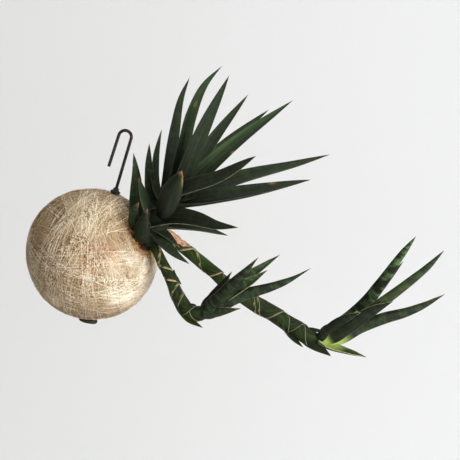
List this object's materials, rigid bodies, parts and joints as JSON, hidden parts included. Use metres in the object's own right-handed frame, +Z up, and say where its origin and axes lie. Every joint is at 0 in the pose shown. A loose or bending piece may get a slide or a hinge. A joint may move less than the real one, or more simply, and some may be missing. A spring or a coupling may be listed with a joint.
{
  "type": "hanging kokedama plant",
  "caption": "Thread-wound round plant ball on a bent wire hook, with a crown of stiff pointed leaves and scale-clad runners that end in small leaf rosettes.",
  "frame": {"origin": "inside top of the hook's bend, where the part hangs", "axes": "+X along the reach of the runners, +Y away from the viewer of the front, +Z up"},
  "size_m": [0.3463, 0.1425, 0.2342],
  "materials": {
    "soil": "rough and crumbly",
    "thread": "matt wound thread",
    "wire": "dark and slightly worn",
    "fitting": "dark and matt",
    "crown_leaf": "satin stiff leaf",
    "old_base": "dry and fibrous",
    "runner_scale": "satin with pale scale edges",
    "rosette_leaf": "satin mottled leaf",
    "dry_bract": "dry and papery"
  },
  "bodies": {
    "root": {"soil_ball": "soil", "thread_wrap": "thread", "hook_rod": "wire", "top_collar": "fitting", "bottom_plate": "fitting", "crown": "crown_leaf", "crown_old_bases": "old_base", "short_runner": "runner_scale", "short_rosette": "rosette_leaf", "long_runner": "runner_scale", "long_rosette": "rosette_leaf", "dry_bracts": "dry_bract"}
  },
  "joints": []
}
